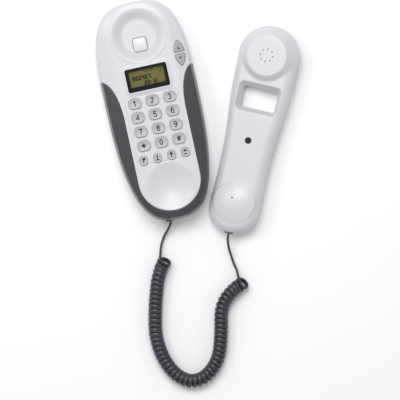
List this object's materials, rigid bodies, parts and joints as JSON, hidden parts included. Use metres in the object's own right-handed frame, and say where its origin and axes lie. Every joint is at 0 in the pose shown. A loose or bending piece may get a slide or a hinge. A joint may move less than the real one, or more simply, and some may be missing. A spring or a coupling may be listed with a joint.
{
  "type": "slimline wall phone",
  "caption": "Slim wall telephone lying on its back, with display, keypad and cradle dishes; its handset with an open window lies beside it on a curly cord.",
  "frame": {"origin": "middle of the base's flat back, which is also the surface it lies on", "axes": "+Z out of the dial side, +Y towards the base's upper end"},
  "size_m": [0.2098, 0.3924, 0.0366],
  "materials": {
    "shell_white": "satin",
    "band_grey": "satin",
    "key_grey": "satin",
    "arrow_grey": "satin",
    "black_plastic": "matte",
    "lens": "clear",
    "lcd": "matte",
    "rubber": "matte",
    "board": "satin",
    "steel": "brushed",
    "brass": "satin",
    "cell": "gloss",
    "plug_plastic": "clear",
    "cord": "satin",
    "wire": "satin"
  },
  "bodies": {
    "base": {"rear_cover": "shell_white", "side_band": "band_grey", "front_cover": "shell_white", "display_bezel": "black_plastic", "display_lens": "lens", "lcd_panel": "lcd", "lcd_connector": "rubber", "keypad_mat": "rubber", "main_board": "board", "hook_spring": "steel", "hook_switch": "black_plastic", "ringer_disc": "brass", "batteries": "cell", "battery_contacts": "steel", "line_jack": "black_plastic", "base_jack": "black_plastic", "base_plug": "plug_plastic", "cover_screws": "steel", "rubber_pads": "rubber", "base_wiring": "wire", "cord_lead_base": "cord", "cord_coil": "cord"},
    "handset": {"handset_inner_shell": "shell_white", "handset_outer_shell": "shell_white", "receiver_capsule": "steel", "receiver_gasket": "rubber", "microphone": "steel", "microphone_boot": "rubber", "handset_weight": "steel", "handset_jack": "black_plastic", "handset_plug": "plug_plastic", "handset_screw": "steel", "screw_plug": "rubber", "handset_wiring": "wire", "cord_lead_handset": "cord"},
    "key_1_body": {"key_1": "key_grey"},
    "key_2_body": {"key_2": "key_grey"},
    "key_3_body": {"key_3": "key_grey"},
    "key_4_body": {"key_4": "key_grey"},
    "key_5_body": {"key_5": "key_grey"},
    "key_6_body": {"key_6": "key_grey"},
    "key_7_body": {"key_7": "key_grey"},
    "key_8_body": {"key_8": "key_grey"},
    "key_9_body": {"key_9": "key_grey"},
    "key_star_body": {"key_star": "key_grey"},
    "key_0_body": {"key_0": "key_grey"},
    "key_hash_body": {"key_hash": "key_grey"},
    "func_key_1_body": {"func_key_1": "key_grey"},
    "func_key_2_body": {"func_key_2": "key_grey"},
    "func_key_3_body": {"func_key_3": "key_grey"},
    "func_key_4_body": {"func_key_4": "key_grey"},
    "key_up_body": {"key_up": "arrow_grey"},
    "key_down_body": {"key_down": "arrow_grey"},
    "hook": {"hook_plunger": "shell_white"},
    "ringer_switch": {"ringer_slider": "black_plastic"},
    "dial_mode_switch": {"dial_mode_slider": "black_plastic"},
    "door": {"battery_door": "shell_white"}
  },
  "joints": [
    {"name": "handset_lift", "type": "slide", "parent": "base", "child": "handset", "axis": [0, 0, 1], "range_m": [0, 0.06]},
    {"name": "key_1_press", "type": "slide", "parent": "base", "child": "key_1_body", "axis": [0, 0, -1], "range_m": [0, 0.001], "stiffness_N_per_m": 600, "springref_m": -0.0006},
    {"name": "key_2_press", "type": "slide", "parent": "base", "child": "key_2_body", "axis": [0, 0, -1], "range_m": [0, 0.001], "stiffness_N_per_m": 600, "springref_m": -0.0006},
    {"name": "key_3_press", "type": "slide", "parent": "base", "child": "key_3_body", "axis": [0, 0, -1], "range_m": [0, 0.001], "stiffness_N_per_m": 600, "springref_m": -0.0006},
    {"name": "key_4_press", "type": "slide", "parent": "base", "child": "key_4_body", "axis": [0, 0, -1], "range_m": [0, 0.001], "stiffness_N_per_m": 600, "springref_m": -0.0006},
    {"name": "key_5_press", "type": "slide", "parent": "base", "child": "key_5_body", "axis": [0, 0, -1], "range_m": [0, 0.001], "stiffness_N_per_m": 600, "springref_m": -0.0006},
    {"name": "key_6_press", "type": "slide", "parent": "base", "child": "key_6_body", "axis": [0, 0, -1], "range_m": [0, 0.001], "stiffness_N_per_m": 600, "springref_m": -0.0006},
    {"name": "key_7_press", "type": "slide", "parent": "base", "child": "key_7_body", "axis": [0, 0, -1], "range_m": [0, 0.001], "stiffness_N_per_m": 600, "springref_m": -0.0006},
    {"name": "key_8_press", "type": "slide", "parent": "base", "child": "key_8_body", "axis": [0, 0, -1], "range_m": [0, 0.001], "stiffness_N_per_m": 600, "springref_m": -0.0006},
    {"name": "key_9_press", "type": "slide", "parent": "base", "child": "key_9_body", "axis": [0, 0, -1], "range_m": [0, 0.001], "stiffness_N_per_m": 600, "springref_m": -0.0006},
    {"name": "key_star_press", "type": "slide", "parent": "base", "child": "key_star_body", "axis": [0, 0, -1], "range_m": [0, 0.001], "stiffness_N_per_m": 600, "springref_m": -0.0006},
    {"name": "key_0_press", "type": "slide", "parent": "base", "child": "key_0_body", "axis": [0, 0, -1], "range_m": [0, 0.001], "stiffness_N_per_m": 600, "springref_m": -0.0006},
    {"name": "key_hash_press", "type": "slide", "parent": "base", "child": "key_hash_body", "axis": [0, 0, -1], "range_m": [0, 0.001], "stiffness_N_per_m": 600, "springref_m": -0.0006},
    {"name": "func_key_1_press", "type": "slide", "parent": "base", "child": "func_key_1_body", "axis": [0, 0, -1], "range_m": [0, 0.001], "stiffness_N_per_m": 600, "springref_m": -0.0006},
    {"name": "func_key_2_press", "type": "slide", "parent": "base", "child": "func_key_2_body", "axis": [0, 0, -1], "range_m": [0, 0.001], "stiffness_N_per_m": 600, "springref_m": -0.0006},
    {"name": "func_key_3_press", "type": "slide", "parent": "base", "child": "func_key_3_body", "axis": [0, 0, -1], "range_m": [0, 0.001], "stiffness_N_per_m": 600, "springref_m": -0.0006},
    {"name": "func_key_4_press", "type": "slide", "parent": "base", "child": "func_key_4_body", "axis": [0, 0, -1], "range_m": [0, 0.001], "stiffness_N_per_m": 600, "springref_m": -0.0006},
    {"name": "key_up_press", "type": "slide", "parent": "base", "child": "key_up_body", "axis": [0, 0, -1], "range_m": [0, 0.001], "stiffness_N_per_m": 600, "springref_m": -0.0006},
    {"name": "key_down_press", "type": "slide", "parent": "base", "child": "key_down_body", "axis": [0, 0, -1], "range_m": [0, 0.001], "stiffness_N_per_m": 600, "springref_m": -0.0006},
    {"name": "hook_press", "type": "slide", "parent": "base", "child": "hook", "axis": [0, 0, -1], "range_m": [0, 0.0045], "stiffness_N_per_m": 120, "springref_m": -0.003, "deforming": ["hook_spring"]},
    {"name": "ringer_slide", "type": "slide", "parent": "base", "child": "ringer_switch", "axis": [1, 0, 0], "range_m": [0, 0.0045]},
    {"name": "dial_mode_slide", "type": "slide", "parent": "base", "child": "dial_mode_switch", "axis": [1, 0, 0], "range_m": [0, 0.0045]},
    {"name": "door_hinge", "type": "hinge", "parent": "base", "child": "door", "pos_m": [0, -0.0175, 0.0023], "axis": [1, 0, 0], "range_deg": [-100, 0]}
  ]
}
